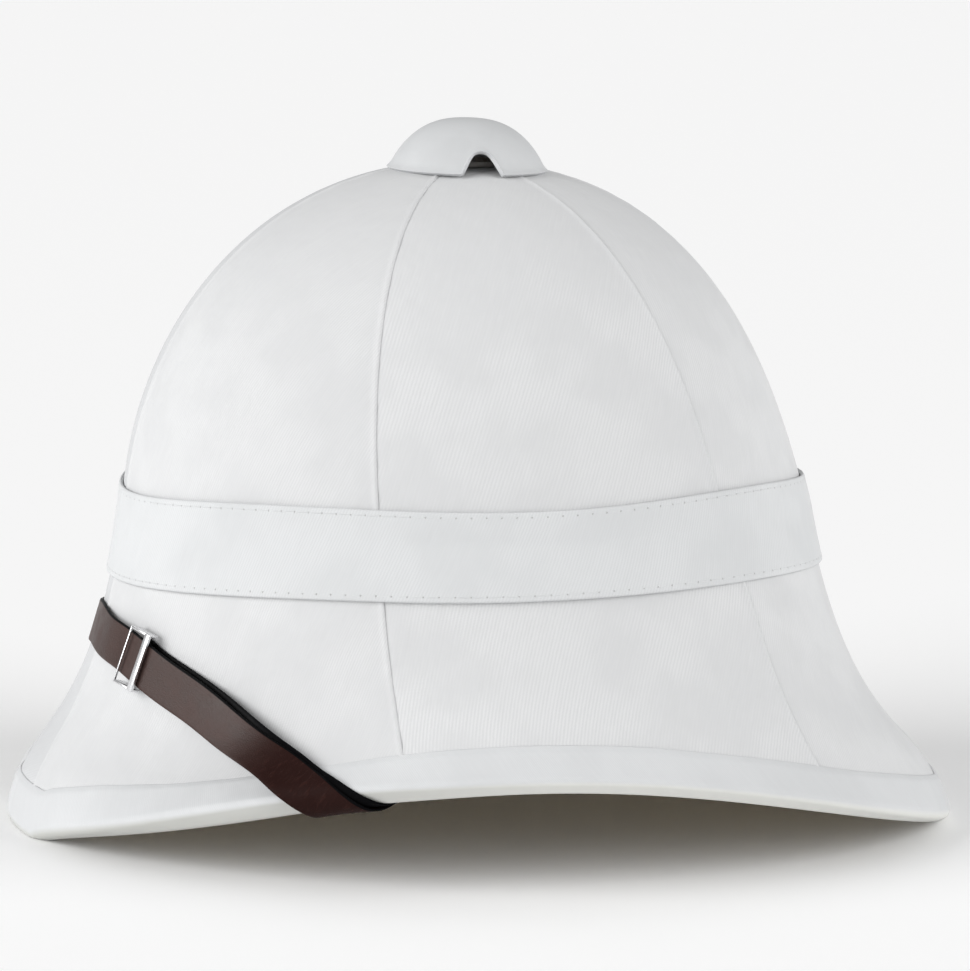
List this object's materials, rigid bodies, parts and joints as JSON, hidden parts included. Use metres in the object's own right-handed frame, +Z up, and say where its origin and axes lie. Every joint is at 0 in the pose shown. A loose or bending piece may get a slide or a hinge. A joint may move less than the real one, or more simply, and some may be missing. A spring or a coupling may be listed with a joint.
{
  "type": "pith helmet",
  "caption": "White cotton-covered pith helmet with a ventilator cap, a folded band round the crown, a bound brim and a brown leather chin strap with a steel slider.",
  "frame": {"origin": "middle of the bounding box, on the surface that the brim's edge stands on", "axes": "+Z up, -X to the front of the helmet, -Y to the wearer's left"},
  "size_m": [0.3513, 0.2666, 0.2538],
  "materials": {
    "pith": "raw pressed pith, matt",
    "cotton": "white cotton twill, matt",
    "band_cotton": "white cotton twill, folded and stitched, matt",
    "binding_tape": "white bias tape, matt",
    "cap_white": "white paint, satin",
    "collar_white": "white paint, matt",
    "strap_leather": "dark brown, black painted edges, slightly glossy",
    "slider_steel": "polished steel",
    "loop_brass": "plain wire"
  },
  "bodies": {
    "root": {"pith_shell": "pith", "cover_front_left": "cotton", "cover_side_left": "cotton", "cover_back_left": "cotton", "cover_back_right": "cotton", "cover_side_right": "cotton", "cover_front_right": "cotton", "puggaree_band": "band_cotton", "rim_binding": "binding_tape", "vent_cap": "cap_white", "vent_collar": "collar_white", "chin_strap": "strap_leather", "strap_slider": "slider_steel", "strap_loop_left": "loop_brass", "strap_loop_right": "loop_brass"}
  },
  "joints": []
}
